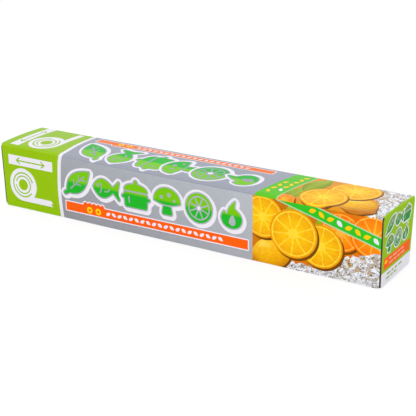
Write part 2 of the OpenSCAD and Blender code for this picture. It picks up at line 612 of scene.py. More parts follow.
def block_inks(place):
    """The green block's bar, and its sign: a roll seen from its end, with its web coming off."""
    centre = (15.6, 15.0)
    torn = [(31, 4.4), (38.6, 4.4), (37.0, 5.6), (38.6, 6.8), (37.0, 8.2), (31, 8.2)]
    white = [field((4.8, 27.1), (39.4, 33.4)), disc(centre, 10.6)]
    white += [Shape([(15.6, 6.3), (33.5, 6.3)], 1.9), solid(torn)]
    green = [Shape(line, 0.42) for line in (
        [(11.0, 30.2), (33.0, 30.2)],
        [(13.4, 32.0), (11.0, 30.2), (13.4, 28.4)],
        [(30.6, 32.0), (33.0, 30.2), (30.6, 28.4)],
    )]
    green += [Shape(arc(centre, (7.7, 7.7), 20, 320, 30), 0.45), disc(centre, 3.6)]
    green.append(Shape(arc(centre, (5.6, 5.6), 190, 520, 30), 0.4))
    return inks_of(WHITE, white, *place) + inks_of(LIME, green, *place)


def strip_outline(grow=0.0):
    """Outline of the orange strip, with the row of teeth on its upper edge."""
    (u0, u1), (s0, s1), (t0, t1) = STRIP_U, STRIP_S, STRIP_TEETH_U
    points = [(u0, s0), (u1, s0), (u1, s1), (t1, s1)]
    pitch = (t1 - t0) / STRIP_TEETH
    for step in range(STRIP_TEETH):
        points += [(t1 - pitch * step - share * pitch, s1 + rise) for share, rise in TOOTH]
    return solid([*points, (t0, s1), (u0, s1)], grow)


def strip_inks(place, colour):
    """The orange strip and the marks on it."""
    inks = inks_of(WHITE, [strip_outline(STRIP_BORDER)], *place)
    inks += inks_of(colour, [strip_outline()], *place)
    for u in STRIP_DISCS_U:
        for r, tone in ((2.1, YELLOW), (0.8, colour)):
            inks += inks_of(tone, [disc((u, STRIP_MARKS_S), r)], *place)
    start, end = ((u, STRIP_MARKS_S) for u in STRIP_LEAVES_U)
    return inks + inks_of(WHITE, garland(start, end, 3.1), *place)


def ball(centre, size, light, base, dark):
    """Shading of a round fruit, lit from the upper left."""

    def colour(points):
        q = (points - centre) / size
        lit = 0.5 * (-q[:, 0] * 0.55 + q[:, 1] * 0.83)
        rim = np.clip(np.sum(q**2, axis=1), 0, 1.3) ** 2
        shade = mix(base, dark, 0.7 * rim - lit)
        spark = np.exp(-np.sum((q - (-0.36, 0.44)) ** 2, axis=1) / 0.07)
        return mix(shade, light, 0.9 * spark + 0.4 * ramp(lit))

    return colour


def radial(centre, size, inner, outer):
    """Colour that runs from a middle outwards."""

    def colour(points):
        q = (points - centre) / size
        return mix(inner, outer, np.sum(q**2, axis=1) ** 0.8)

    return colour


# Rind, pith, and the pulp from its middle outwards
LEMON = (linear(240, 160, 0), linear(255, 218, 50), linear(255, 206, 0), linear(242, 164, 0))
FRUIT = (linear(252, 116, 0), linear(255, 186, 60), linear(255, 160, 0), linear(252, 112, 0))
# Light, base and dark tones of rounded things
LEMON_TONES = (linear(255, 230, 90), linear(250, 190, 0), linear(196, 116, 0))
LEAF_TONES = (linear(184, 200, 70), linear(150, 176, 10), linear(98, 126, 0))
SHADOW = linear(122, 74, 0)
GROUND = (linear(196, 120, 0), linear(224, 120, 0))
TOP_GROUND = linear(226, 150, 0)


def citrus(kind, centre, r, squash=1.0, turn=0.2, count=9):
    """Cut slice with its shadow: rind, pith and segments."""
    rind, pith, inner, outer = kind
    parts = inks_of(SHADOW, [disc(centre, r * 1.01, squash)], (1.1, -1.1))
    parts += [Ink(disc(centre, r, squash), rind), Ink(disc(centre, r * 0.925, squash), pith)]
    pulp = radial(centre, (r, r * squash), inner, outer)
    segments = wedges(np.array(centre, float), r * 0.86, count, 0.045 * r, 0.05 * r, squash, turn)
    return parts + inks_of(pulp, segments)


def lemon(centre, size, tilt):
    """A whole lemon with its shadow: an oval with a nub at each end."""
    t = np.radians(np.arange(0, 360, 8))
    reach = 1 + 0.13 * np.exp(-((np.abs(np.cos(t)) - 1) ** 2) / 0.002)
    oval = np.column_stack((np.cos(t) * reach * size[0], np.sin(t) * size[1]))
    shape = solid(oval @ spin(tilt) + centre)
    shading = ball(centre, size, *LEMON_TONES)
    return inks_of(SHADOW, [shape], (1.0, -1.0)) + [Ink(shape, shading)]


def green_leaf(start, end, width):
    """A leaf with its midrib."""
    start, end = np.array(start, float), np.array(end, float)
    shading = ball((start + end) / 2, np.abs(end - start) * 0.6 + 3, *LEAF_TONES)
    rib = Shape([start * 0.95 + end * 0.05, start * 0.12 + end * 0.88], 0.22)
    return [Ink(leaf(start, end, width), shading), Ink(rib, LEAF_TONES[0])]


def grid(low, high, step, jitter=0.0, seed=1):
    """Points in rows, about a step apart."""
    counts = (max(2, int((high[i] - low[i]) / step[i]) + 1) for i in (0, 1))
    lines = (np.linspace(low[i], high[i], count) for i, count in enumerate(counts))
    points = np.column_stack([values.ravel() for values in np.meshgrid(*lines)])
    return points + np.random.default_rng(seed).uniform(-jitter, jitter, points.shape)


def triangulated(points, edges, weld):
    """Points and triangles of a flat cut that keeps every edge. Points within weld join."""
    cut = geometry.delaunay_2d_cdt([Vector(p) for p in points], edges, [], 0, weld, False)
    return np.array([tuple(p) for p in cut[0]]), np.array(cut[2])


FOIL_BRIGHT = linear(240, 243, 252)
FOIL_DARK = linear(112, 98, 62)
FOIL_GOLD = linear(188, 138, 34)
FOIL_TONES = [FOIL_BRIGHT, linear(190, 200, 222), linear(150, 140, 104), linear(104, 84, 40)]
FOIL_SHARES = (0.32, 0.16, 0.32, 0.20)
# Length and width of a facet, and how far its corners stray
FACET = (3.0, 1.6)
FACET_STRAY = 0.42


def crumpled(region, middle, reach, lean, seed, glow):
    """Foil: facets between scattered points, drawn out along a lean.

    Glow is a spot and a reach of golden light.
    """
    rng = np.random.default_rng(seed)
    seeds = grid((-reach, -reach), (reach, reach), FACET, FACET_STRAY, seed)
    flat, faces = triangulated(seeds @ spin(lean) + middle, [], 1e-6)
    faces = faces[region.holds(flat[faces].mean(axis=1))]
    middles = flat[faces].mean(axis=1)
    x, y = middles.T
    waves = np.sin(x * 0.9 + 2.6 * np.sin(y * 0.5)) + np.sin(y * 1.3 + 2.0 * np.sin(x * 0.4) + 1.1)
    bright = 0.72 + 0.12 * waves + rng.uniform(-0.34, 0.30, len(x))
    tones = mix(FOIL_DARK, FOIL_BRIGHT, bright)
    near = np.exp(-np.sum(((middles - glow[0]) / glow[1]) ** 2, axis=1))
    golden = near * rng.uniform(0, 1.2, len(x)) * (bright < 0.7)
    tones = mix(tones, FOIL_GOLD, golden)
    return [Ink(solid(flat[face]), tone) for face, tone in zip(faces, tones)]


def shards(region, low, high, count, lean, seed):
    """Sharp creases of foil: thin four-cornered slivers that lean about the same way."""
    rng = np.random.default_rng(seed)
    found = []
    while len(found) < count:
        middle = rng.uniform(low, high)
        angle = lean + rng.normal(0, 0.8)
        long, wide = rng.uniform(1.0, 3.8), rng.uniform(0.12, 0.42)
        way = np.array((math.cos(angle), math.sin(angle)))
        across = left_of(way)
        skew = rng.uniform(-0.6, 0.6) * long / 2
        line = [middle - way * long / 2, middle + way * skew - across * wide,
                middle + way * long / 2, middle + way * skew * 0.4 + across * wide]
        tone = FOIL_TONES[rng.choice(len(FOIL_TONES), p=FOIL_SHARES)]
        if np.all(region.holds(np.array(line))):
            found.append(Ink(solid(line), tone))
    return found


def framed(frame, layers):
    """The inks of all layers, kept within a frame. A layer has its inks and how grainy it is."""
    return [Ink(ink.shape, ink.colour, frame, grainy) for inks, grainy in layers for ink in inks]


def shifted(ink):
    """An ink laid out from the left end, moved to the sheet's own X."""
    shape, frame = (s and s.placed((-HALF, 0)) for s in (ink.shape, ink.frame))
    colour = laid_out = ink.colour
    if callable(laid_out):

        def colour(points):
            return laid_out(points + (HALF, 0))

    return Ink(shape, colour, frame, ink.grainy)


def front_picture():
    """Fruit on foil at the right of the front, and the green band across it."""
    frame = field((PICTURE_U, -2), (260, PICTURE_TOP))
    edge = smooth([(196, -2), (203, 3.6), (212, 4.6), (221, 4.0), (229, 9.0), (238, 13.8),
                   (248, 16.6), (262, 22.0)])
    foil = solid(edge.tolist() + [(262, -3), (196, -3)])
    behind = [Ink(frame, radial((186, 30), (60, 30), *GROUND))]
    behind += green_leaf((200, 26), (216, 40), 12) + green_leaf((218, 24), (236, 38), 11)
    behind += citrus(FRUIT, (234.0, 27.0), 12.0, 0.92, 0.1, 10)
    behind += citrus(FRUIT, (252.5, 27.5), 13.5, 0.9, 0.5, 10)
    sheet = crumpled(foil, (228, 9), 42, 0.5, 5, ((240, 11), (26, 6)))
    sheet += shards(foil, (197, -2), (259, 20), 380, 0.5, 5)
    ahead = lemon((192.0, 6.5), (12.5, 9.0), 0.35)
    ahead += citrus(LEMON, (186.5, 27.0), 13.0, 0.95, 0.0)
    ahead += citrus(LEMON, (222.0, 16.5), 13.2, 0.94, 0.35)
    ahead += citrus(LEMON, (205.5, 20.5), 14.6, 0.96, 0.1)
    return framed(frame, ((behind, 1.0), (sheet, 0.0), (ahead, 1.0), (band_inks(), 0.0)))


def band_inks():
    """The green band with its pale borders and its marks."""

    def along(ends, rise):
        return [(u, PICTURE_TOP + BAND_SLOPE * (u - BAND_U[0]) + rise) for u in ends]

    low, high = along(BAND_U, 0.0), along(BAND_U, BAND_HIGH)
    marks = garland(*along(BAND_LEAVES_U, BAND_HIGH * 0.52), 3.9)
    inks = [Ink(solid([*low, *high[::-1]]), BAND_GREEN)]
    inks += inks_of(PALE, (Shape(line, BORDER_PEN) for line in (low, high)))
    return inks + [Ink(m, WHITE if n in (3, 7) else YELLOW) for n, m in enumerate(marks)]


def top_picture():
    """Fruit on foil at the right of the top, and the green band at its left."""
    s0, s1 = PICTURE_TOP, BACK_START + 2
    left = [(181.2, s0 - 1), (184, 55), (186, 70), (187.4, s1)]
    right = [(194.9, s0 - 1), (197, 55), (199.2, 70), (200.4, s1)]
    frame = solid([(181.4, s0), *left[1:], (260, s1), (260, s0)])
    foil = solid([(248.5, s0), (250.5, 45), (250.0, 51), (246, 57), (240, 64), (236.5, 71),
                  (235.5, s1 - 0.5), (260, s1 - 0.5), (260, s0)])
    sheet = crumpled(foil, (247, 58), 30, 2.2, 8, ((244, 62), (10, 16)))
    sheet += shards(foil, (236, s0), (259, s1), 260, 2.2, 6)
    ahead = green_leaf((199, 40), (206, 63), 11.0) + green_leaf((203, 54), (209, 80), 12.0)
    ahead += citrus(FRUIT, (199.5, 39.0), 6.0)
    ahead += lemon((238.0, 49.0), (13.0, 9.5), -0.5)
    ahead += citrus(LEMON, (228.5, 67.5), 14.5, 0.95, 0.3)
    ahead += citrus(LEMON, (217.5, 50.5), 13.4, 0.95, 0.0)
    band = [Ink(solid([*left, *right[::-1]]), TOP_BAND)]
    band.append(Ink(Shape(smooth(right), BORDER_PEN), PALE))
    marks = garland((185.8, 43.0), (189.0, 64.0), 3.6)
    marks += garland((191.6, 47.0), (195.6, 76.0), 3.6)
    band += [Ink(m, WHITE if n == 4 else YELLOW) for n, m in enumerate(marks)]
    ground = [Ink(frame, TOP_GROUND)]
    return framed(frame, ((ground, 1.0), (sheet, 0.0), (ahead, 1.0), (band, 0.0)))


def silver_front_painted_light(points):
    """Silver of the front with painted light: paler to the right and upward, where more light falls.
    """
    share = (points[:, 0] - 45) / 135 * 0.6 + points[:, 1] / 38 * 0.4
    return mix(SILVER_IN_PAINTED_SHADE, SILVER_IN_PAINTED_LIGHT, share)


def lid_ground():
    """Silver, and the lime block with its white stripe, over the front and the top."""
    stripe = smooth(FRONT_STRIPE + TOP_STRIPE)
    top = Ink(field((-1, PICTURE_TOP), (260, BACK_START + 3)), SILVER_TOP)
    # The front's silver has painted light: paler to the right and upward
    front = Ink(field((-1, -3), (260, PICTURE_TOP)), silver_front_painted_light)
    block = Ink(solid(stripe.tolist() + [(-2, 83), (-2, -2)]), LIME)
    return [top, front, block, Ink(Shape(stripe, 1.2), WHITE)]


def lid_inks():
    """Print of the lid's sheet. The top is turned, so that up on it points to the left end."""
    inks = lid_ground() + front_picture() + top_picture()
    inks += block_inks(FRONT_SIGN_PLACE) + block_inks(TOP_SIGN_PLACE)
    tone = two_tone(FRONT_SPLIT, FRONT_SOFT)
    for number, u in enumerate(MOTIF_U):
        inks += title_motif(number, [(u, MOTIF_S)], tone, MOTIF_GROW,
                            (MOTIF_DROP, -MOTIF_DROP), silver_front_painted_light)
    tone = two_tone(TOP_SPLIT, TOP_SOFT, DEEP_GREEN, LIGHT_GREEN)
    for number, u in enumerate(TOP_MOTIF_U):
        place = ((u + MOTIF_H * TOP_SPREAD, TOP_MOTIF_S), TURNED, TOP_SPREAD)
        inks += title_motif(number, place, tone, MOTIF_GROW, (MOTIF_DROP, MOTIF_DROP),
                            SILVER_TOP)
    inks += strip_inks(FRONT_STRIP_PLACE, ORANGE) + strip_inks(TOP_STRIP_PLACE, TOP_ORANGE)
    return [shifted(ink) for ink in inks]


# Motifs of an ear: the first one's place, the steps to the next column and the next row, and
# their size, slant, growth and drop edge
EAR_MOTIF_START = np.array((-16.6, 29.0))
EAR_MOTIF_STEPS = np.array(((10.7, 0.0), (-0.3, -10.7)))
EAR_SPREAD = 0.54
SLANTED = (EAR_SPREAD, 0.16 * EAR_SPREAD, 0, EAR_SPREAD)
EAR_MOTIF_GROW = (0.7, 0.25)
EAR_DROP = (0.2, -0.2)


def ear_inks(full):
    """Print of an ear. The one on the right has the motifs, and the other is plain."""
    inks = [Ink(field((-25, -2), (25, 45)), LIME), Ink(field((-25, -2), (25, 8.3)), WHITE)]
    inks.append(Ink(field((-17.8, 9.8), (17.9, 16.3)), ORANGE))
    if not full:
        return inks
    for number in range(6):
        row, column = divmod(number, 3)
        spot = EAR_MOTIF_START + np.array((column, row)) @ EAR_MOTIF_STEPS
        tone = two_tone(spot[1] + MOTIF_H * EAR_SPREAD / 2, 1.4, *EAR_GREENS)
        place = (spot, SLANTED, EAR_SPREAD)
        inks += title_motif(number, place, tone, EAR_MOTIF_GROW, EAR_DROP, PALE_GREY)
    for colour, start, end, s, thick, lengths, gap in (
        (YELLOW, -16.5, -12.5, 13.7, 2.0, (3.8,), 0.8),
        (SALMON, -10.9, 14.6, 14.3, 1.1, (4.2, 6.0, 3.0), 0.9),
        (SALMON, -10.4, 14.6, 11.7, 1.1, (5.4, 3.4, 4.4), 0.9),
        (LEAFY, -12.4, 8.6, 6.0, 1.1, (5.0, 3.2, 4.0), 1.1),
        (LEAFY, -13.4, 4.8, 3.7, 1.1, (5.0, 3.2, 4.0), 1.1),
    ):
        inks += inks_of(colour, dashes((start, s), (end, s), thick, lengths, gap))
    return inks


# Where borders of the back's print run from the seam downwards
PLY_BORDERS_U = (1.0, 42.0, 42.05, 44.35, 186.0, 257.0)
DASH_LENGTHS = (9.0, 6.5, 12.0, 4.5, 7.5)


def ply_inks():
    """The inner plies: plain board in front, dark as painted shade, and the back and the bottom
    printed plainly.
    """
    low = PLY_BOTTOM_END + 0.2
    inks = [
        Ink(field((1, -1), (257, low)), SILVER),
        Ink(field((1, -1), (42, low)), LIME),
        Ink(Shape([(43.2, -2), (43.2, low - 1)], 1.15), WHITE),
        Ink(field((58, 8), (170, 31), 2.0), WHITE),
    ]
    for step in range(6):
        s = 10.0 + 4.0 * step
        skip = step % 3
        lengths = DASH_LENGTHS[skip:] + DASH_LENGTHS
        inks += inks_of(GREY, dashes((62, s), (164 - 9 * skip, s), 1.3, lengths, 1.8))
    inks.append(Ink(field((186, -2), (257, PLY_BACK_END)), LIME))
    inks.append(Ink(field((196, 12), (247, 27), 1.0), ORANGE))
    # Plain board under the print, dark as painted shade where it shows
    board = Ink(field((-135, -1), (135, PLY_END + 1)), KRAFT_AND_SLOT_SHADE)
    return [board, *(shifted(ink) for ink in inks)]


def wander(x, s, seed):
    """Slow unevenness of a panel between 0 and 1."""
    a = np.sin(x / 41.0 + seed) * np.sin(x / 17.3 + s / 9.0 + 2.1 * seed)
    b = np.sin(x / 67.0 - s / 15.0 + 0.7 * seed)
    return ramp(0.5 + 0.28 * a + 0.22 * b)


def tear_cut(x, s):
    """How deep the cuts of the tear line are at a place on the front panel."""
    along = np.abs((x / CUT_PITCH) % 1 - 0.5) * CUT_PITCH
    across = np.abs(s - TEAR_RISE) / (CUT_W / 2)
    inside = (along < CUT_L / 2 - CUT_TIP / 2) & (np.abs(x) < HALF_FOOT - CUT_PITCH)
    return CUT_DEPTH * inside * ramp(1 - across)


def dented(x, s, dent):
    """Points of the lid's outside, pressed in by a dent."""
    y, z, ny, nz = LID.at(s)
    return np.column_stack((x, y - ny * dent, z - nz * dent))


def front_form(x, s):
    """The front panel before its tear line is cut."""
    hold = ramp((LID_SEAM - s) / FRONT_FADE) * ramp((HALF - np.abs(x)) / END_FADE)
    return dented(x, s, FRONT_BOW * wander(x, s, 1.3) * hold)


def front_place(x, s):
    """Where the front panel's points lie."""
    return front_form(x, s) + np.column_stack((0 * x, tear_cut(x, s), 0 * x))


def top_place(x, s):
    """Where the top panel's points lie."""
    hold = ramp((s - LID_SEAM) / TOP_FADE) * ramp((BACK_SEAM - s) / TOP_FADE)
    hold *= ramp((EAR_X - np.abs(x)) / END_FADE)
    return dented(x, s, TOP_BOW * wander(x, s, 4.2) * hold)


# The line where an ear leaves its fold, on the end plane
lid_fold_s = np.linspace(LID_SEAM, FOLD_END, 6)
crown_s = np.linspace(FOLD_END, CROWN_END, 16)[1:]
hinge_s = np.concatenate((lid_fold_s, crown_s, np.linspace(CROWN_END, BACK_SEAM, 6)[1:]))
hinge = LID.at(hinge_s)
hinge_y = hinge[0] - hinge[2] * EAR_R
hinge_z = hinge[1] - hinge[3] * EAR_R


def ear_place(side):
    """Where an ear's points lie. On the sheet a runs to the right and b up, seen from outside."""

    def place(a, b):
        y = side * a
        top = np.interp(y, hinge_y, hinge_z)
        base_y, base_z, ny, nz = LID.at(np.interp(y, hinge_y, hinge_s))
        turn = np.clip((b - top) / EAR_R, 0, QUARTER + 0.1)
        folded = (b > top) & (y > hinge_y[0] - 0.05) & (y < hinge_y[-1] + 0.05)
        depth = EAR_R * (1 - np.sin(turn))
        x = np.where(folded, EAR_X + EAR_R * np.cos(turn), HALF)
        flat_y = np.where(folded, base_y - ny * depth, y)
        flat_z = np.where(folded, base_z - nz * depth, b)
        return np.column_stack((side * x, flat_y, flat_z))

    return place


PLY_END_X = PLY_X - PLY_R
PLY_REACH = PLY_END_X + PLY_R * QUARTER
# Depth of the end folds' rounding, how much of it is left at the seam, and over what length
PLY_ROUND = PLY_R - 0.1
SEAM_SHARE = 0.6
SEAM_REACH = 2.0


def ply_place(a, b):
    """Where the inner plies' points lie. They turn inward at both ends."""
    y, z, ny, nz = PLIES.at(b)
    over = np.clip((np.abs(a) - PLY_END_X) / PLY_R, 0, QUARTER)
    last = PLY_END - INSET
    round_at = (0, SEAM_REACH, PLY_WALL_END - SEAM_REACH, PLY_WALL_END, last, PLY_END)
    share = np.interp(b, round_at, (SEAM_SHARE, 1, 1, 0, 0, SEAM_SHARE))
    seam = PLIES.at(0)
    ny = np.where(b > last, seam[2], ny)
    nz = np.where(b > last, seam[3], nz)
    depth = PLY_ROUND * (1 - np.cos(over)) * share
    x = np.where(over > 0, np.sign(a) * (PLY_END_X + PLY_R * np.sin(over)), a)
    return np.column_stack((x, y - ny * depth, z - nz * depth))


def front_outline():
    """Outline of the front panel with its slightly wavy foot."""
    r = FOOT_CORNER_R
    x = np.linspace(-HALF_FOOT + r, HALF_FOOT - r, 60)
    foot = np.column_stack((x, FOOT_WAVE * (np.sin(x / 23.0 + 1.0) * np.sin(x / 9.7) - 1)))
    right = arc((HALF_FOOT - r, r), (r, r), -80, 0, 7)
    left = arc((r - HALF_FOOT, r), (r, r), 180, 260, 7)
    return np.vstack((foot, right, [(HALF_TOP, LID_SEAM), (-HALF_TOP, LID_SEAM)], left))


def ear_outline(side):
    """Outline of an ear: raw edges in front, below and behind, and the fold above."""
    r = EAR_CORNER_R
    y0, y1 = FRONT_Y + EAR_FRONT_GAP, BACK_Y - EAR_BACK_GAP
    low_front = arc((y0 + r, EAR_FOOT_Z + r), (r, r), 180, 270, 6)
    low_back = arc((y1 - r, EAR_FOOT_Z + r), (r, r), 270, 360, 6)
    low_z, high_z = EAR_TURN_Z
    back = [(y1, BACK_Z + low_z), (y1 - EAR_TURN_IN[1], BACK_Z + high_z)]
    back.append((hinge_y[-1], hinge_z[-1]))
    over = np.column_stack((hinge_y, hinge_z + EAR_R * QUARTER))[::-1]
    front = [(hinge_y[0], hinge_z[0]), (y0 + EAR_TURN_IN[0], LID_Z + high_z), (y0, LID_Z + low_z)]
    points = np.vstack((low_front, low_back, back, over, front)) * (side, 1)
    return points[::side]


def rows_across(levels, reach=140.0):
    """Lines right across a sheet, one at each level."""
    return [[(-reach, s), (reach, s)] for s in levels]


def cut_sheet(outline, rows, posts, inks):
    """Triangles of a flat sheet, cut along its outline, its fold rows and every ink's edge."""
    points, edges = [], []

    def add(line, closed):
        first, count = len(points), len(line)
        points.extend(line)
        edges.extend((first + i, first + (i + 1) % count) for i in range(count - (not closed)))

    add(outline, True)
    for row in rows:
        add(row, False)
    low, high = outline.min(axis=0), outline.max(axis=0)
    for ink in inks:
        for line in ink.shape.outlines():
            if np.all(line.max(axis=0) > low) and np.all(line.min(axis=0) < high):
                add(line, True)
    points.extend(posts)
    flat, faces = triangulated(points, edges, 1e-3)
    faces = faces[in_outline(flat[faces].mean(axis=1), outline)]
    used, faces = np.unique(faces, return_inverse=True)
    return flat[used], faces.reshape(-1, 3)


def inked(flat, faces, inks):
    """Colour at each corner of each triangle, and how grainy it is there."""
    middles = flat[faces].mean(axis=1)
    on_top = np.zeros(len(faces), int)
    for number, ink in enumerate(inks):
        on_top[ink.holds(middles)] = number
    colours = np.zeros((len(faces), 3, 4))
    grainy = np.zeros(len(faces))
    for number in np.unique(on_top):
        mine = np.flatnonzero(on_top == number)
        grainy[mine] = inks[number].grainy
        corners = flat[faces[mine]].reshape(-1, 2)
        colours[mine] = inks[number].paint(corners).reshape(-1, 3, 4)
    return colours, np.repeat(grainy, 3)


def facing(place, flat):
    """Outward direction of the folded sheet at its points, from small steps on the sheet."""
    h = 0.02
    a, b = flat.T
    over = place(a + h, b) - place(a - h, b)
    rise = place(a, b + h) - place(a, b - h)
    return unit(np.cross(over, rise))


def rim_of(faces):
    """The edges that only one triangle has, in that triangle's order."""
    edges = np.vstack([faces[:, pair] for pair in ([0, 1], [1, 2], [2, 0])])
    keys = edges.min(axis=1) * (faces.max() + 1) + edges.max(axis=1)
    _, first, count = np.unique(keys, return_index=True, return_counts=True)
    return edges[first[count == 1]]


def loop_of(rim):
    """The points of one closed run of directed edges, in order."""
    after = dict(rim.tolist())
    loop = [int(rim[0, 0])]
    while after[loop[-1]] != loop[0]:
        loop.append(after[loop[-1]])
    return np.array(loop)


def own_facing(points, faces, out):
    """Normals at the corners of triangles: the sheet's own, but flat on the sides of a cut."""
    a, b, c = (points[faces[:, i]] for i in range(3))
    flat = unit(np.cross(b - a, c - a))
    normals = out[faces]
    tilted = np.sum(normals.mean(axis=1) * flat, axis=1) < 0.9
    normals[tilted] = flat[tilted][:, None]
    return normals.reshape(-1, 3)


def leaning(points):
    """The points with both ends of the carton leaning in towards its foot."""
    x, y, z = points.T
    rear = (y - FRONT_Y) / DEPTH
    left, right = (front + (back - front) * rear for front, back in (LEFT_LEAN, RIGHT_LEAN))
    near = ramp((np.abs(x) - HALF) / LEAN_REACH + 1)
    low = ramp(1 - z / SHOULDER_Z)
    return np.column_stack((x + np.where(x < 0, left, -right) * near * low, y, z))


def add_object(name, data):
    """New object in the scene."""
    made = bpy.data.objects.new(name, data)
    bpy.context.scene.collection.objects.link(made)
    return made


def make_piece(name, points, faces, normals, colours, wear, grainy, slots):
    """Mesh object from points, faces, and what is set at each corner."""
    mesh = bpy.data.meshes.new(name)
    mesh.from_pydata((leaning(points) * MM).tolist(), [], faces)
    mesh.attributes.new("ink", "FLOAT_COLOR", "CORNER").data.foreach_set("color", colours.ravel())
    for key, values in (("wear", wear), ("grainy", grainy)):
        mesh.attributes.new(key, "FLOAT", "CORNER").data.foreach_set("value", values)
    mesh.polygons.foreach_set("material_index", slots)
    mesh.polygons.foreach_set("use_smooth", np.ones(len(faces), bool))
    mesh.normals_split_custom_set(normals.tolist())
    for material in (PRINTED, RAW):
        mesh.materials.append(material)
    piece = add_object(name, mesh)
    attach(piece, "root")
    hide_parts("carton")


def make_sheet(name, place, outline, folds, rows, posts, inks, wear_of, form=None):
    """A printed panel: its outside, its plain inside and the raw edges between them.

    Form is the place function without fine cuts, for the plain inside and smooth shading.
    """
    form = form or place
    flat, faces = cut_sheet(outline, folds + rows, posts, inks)
    colours, grainy = inked(flat, faces, inks)
    outer, out = place(*flat.T), facing(form, flat)
    loop = loop_of(rim_of(faces))
    plain, backs = cut_sheet(flat[loop], folds, [], [])
    inside = facing(form, plain)
    inner = form(*plain.T) - inside * BOARD
    apart = np.sum((flat[loop][:, None] - plain) ** 2, axis=2)
    under_loop = apart.argmin(axis=1) + len(flat)
    here, there = loop, np.roll(loop, -1)
    walls = np.column_stack((there, here, under_loop, np.roll(under_loop, -1)))
    wall_out = unit(np.cross(outer[here] - outer[there], -out[here]))
    backs = backs[:, ::-1]
    normals = (own_facing(outer, faces, out), -inside[backs.ravel()], np.repeat(wall_out, 4, axis=0))
    raw = len(backs) * 3 + len(walls) * 4
    # Raw edges and insides take the raw edge colour, which is partly painted shade
    ink_values = np.vstack((colours.reshape(-1, 4), np.tile(RAW_EDGE_AND_SHADE, (raw, 1))))
    wear = np.append(wear_of(*flat[faces.ravel()].T), np.zeros(raw))
    grainy = np.append(grainy, np.zeros(raw))
    slots = np.repeat((0, 1), (len(faces), len(backs) + len(walls)))
    all_faces = faces.tolist() + (backs + len(flat)).tolist() + walls.tolist()
    make_piece(name, np.vstack((outer, inner)), all_faces, np.vstack(normals), ink_values, wear,
               grainy, slots)


def cap_of(faces, points, side):
    """The flat face that closes one end of the plies."""
    rim = rim_of(faces)
    mine = rim[np.all(points[rim, 0] * side > PLY_X - 1e-3, axis=1)]
    return loop_of(mine)[::-1].tolist()


def make_plies():
    """The inner plies: one closed body, with its seam hidden under the top panel."""
    outline = np.array(box((-PLY_REACH, 0), (PLY_REACH, PLY_END)))
    levels = PLIES.marks[1:-1]
    for first in (0, 2, 4, 6, 7, 8):
        levels += np.linspace(PLIES.marks[first], PLIES.marks[first + 1], 8)[1:-1].tolist()
    rows = rows_across(levels, PLY_REACH + 1)
    turns = PLY_END_X + PLY_R * np.linspace(0, QUARTER, 7)
    borders = np.array(PLY_BORDERS_U) - HALF
    rows += [[(x, -1), (x, PLY_END + 1)] for x in (*turns, *-turns, *borders)]
    posts = grid((-120, 2), (120, PLY_END - 2), (20, 20))
    inks = ply_inks()
    flat, faces = cut_sheet(outline, rows, posts, inks)
    colours = inked(flat, faces, inks)[0]
    a, b = flat.T
    points = ply_place(a, np.where(b > PLY_END - 1e-6, 0, b))
    _, first, again = np.unique(np.round(points, 3), axis=0, return_index=True, return_inverse=True)
    joined = again.reshape(-1)[faces]
    good = np.all(joined != np.roll(joined, -1, axis=1), axis=1)
    joined, faces, colours = joined[good], faces[good], colours[good]
    caps = [cap_of(joined, points[first], side) for side in (1, -1)]
    normals = [facing(ply_place, flat)[faces.ravel()]]
    normals += [np.tile((side, 0, 0), (len(cap), 1)) for side, cap in zip((1, -1), caps)]
    raw = sum(len(cap) for cap in caps)
    ink_values = np.vstack((colours.reshape(-1, 4), np.tile(KRAFT_AND_SLOT_SHADE, (raw, 1))))
    wear = np.zeros(len(ink_values))
    # Faces left in the dark plain board, which is painted shade, take the raw material
    board_in_painted_shade = np.all(np.abs(colours[:, 0] - KRAFT_AND_SLOT_SHADE) < 1e-6, axis=1)
    slots = np.append(board_in_painted_shade.astype(int), (1, 1))
    make_piece("inner_carton", points[first], joined.tolist() + caps, np.vstack(normals),
               ink_values, wear, wear, slots)


def node(tree, kind, values=None, **settings):
    """A shader node. Values that are sockets are linked, and the others are set."""
    made = tree.nodes.new(kind)
    for key, value in settings.items():
        setattr(made, key, value)
    for key, value in (values or {}).items():
        if isinstance(value, bpy.types.NodeSocket):
            tree.links.new(value, made.inputs[key])
        else:
            made.inputs[key].default_value = value
    return made


def math_of(tree, kind, first, second, third=0.0, clamp=False):
    values = {0: first, 1: second, 2: third}
    return node(tree, "ShaderNodeMath", values, operation=kind, use_clamp=clamp).outputs[0]


def scaled(tree, value, factor, plus=0.0, clamp=False):
    """The value times a factor, plus a constant or another value."""
    return math_of(tree, "MULTIPLY_ADD", value, factor, plus, clamp)


def noise_of(tree, where, kind):
    scale, detail, rough = kind
    values = {"Vector": where, "Scale": scale, "Detail": detail, "Roughness": rough}
    return node(tree, "ShaderNodeTexNoise", values).outputs["Fac"]


def blend_of(tree, share, first, second, kind="MIX"):
    values = {0: share, 6: first, 7: second}
    return node(tree, "ShaderNodeMix", values, data_type="RGBA", blend_type=kind).outputs[2]


def toned(tree, colour, tone):
    """The colour times a grey tone."""
    grey = node(tree, "ShaderNodeCombineColor", {0: tone, 1: tone, 2: tone}).outputs[0]
    return blend_of(tree, 1.0, colour, grey, "MULTIPLY")


def bump_of(tree, strength, distance, height, under=None):
    """Bump with its distance in metres, over another bump if there is one."""
    values = {"Strength": strength, "Distance": distance, "Height": height}
    if under:
        values["Normal"] = under
    return node(tree, "ShaderNodeBump", values).outputs[0]


def stored(tree, key):
    """What the mesh holds under that name."""
    return node(tree, "ShaderNodeAttribute", attribute_name=key).outputs


def new_tree(owner):
    """Empty node tree of a material or a world."""
    owner.use_nodes = True
    owner.node_tree.nodes.clear()
    return owner.node_tree


def new_material(name):
    material = bpy.data.materials.new(name)
    tree = new_tree(material)
    return material, tree, node(tree, "ShaderNodeTexCoord").outputs["Object"]


